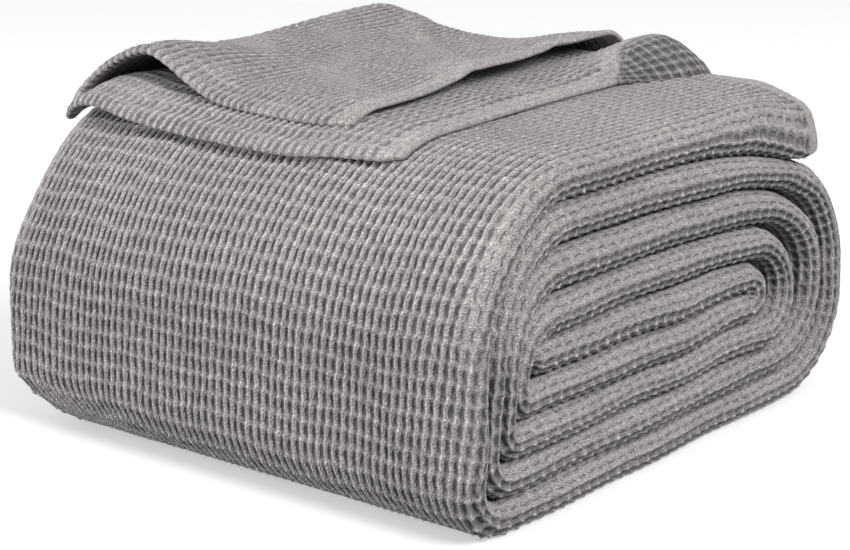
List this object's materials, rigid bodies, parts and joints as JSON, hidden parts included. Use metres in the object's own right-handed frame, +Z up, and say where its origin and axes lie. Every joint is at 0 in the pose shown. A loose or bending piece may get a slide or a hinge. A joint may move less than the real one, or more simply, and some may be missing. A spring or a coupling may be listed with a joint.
{
  "type": "waffle weave cotton blanket",
  "caption": "Waffle weave cotton blanket folded lengthwise and rolled up flat, with a doubled loose end turned back over its top.",
  "frame": {"origin": "middle of the footprint (the overall box), on the surface the blanket rests on", "axes": "+Z up; the roll's axis lies along X, its long rounded front faces -Y, and its spiral ends face +X and -X"},
  "size_m": [0.2326, 0.248, 0.1436],
  "materials": {
    "cotton": "matt waffle weave cotton, light grey"
  },
  "bodies": {
    "root": {"blanket": "cotton"}
  },
  "joints": []
}
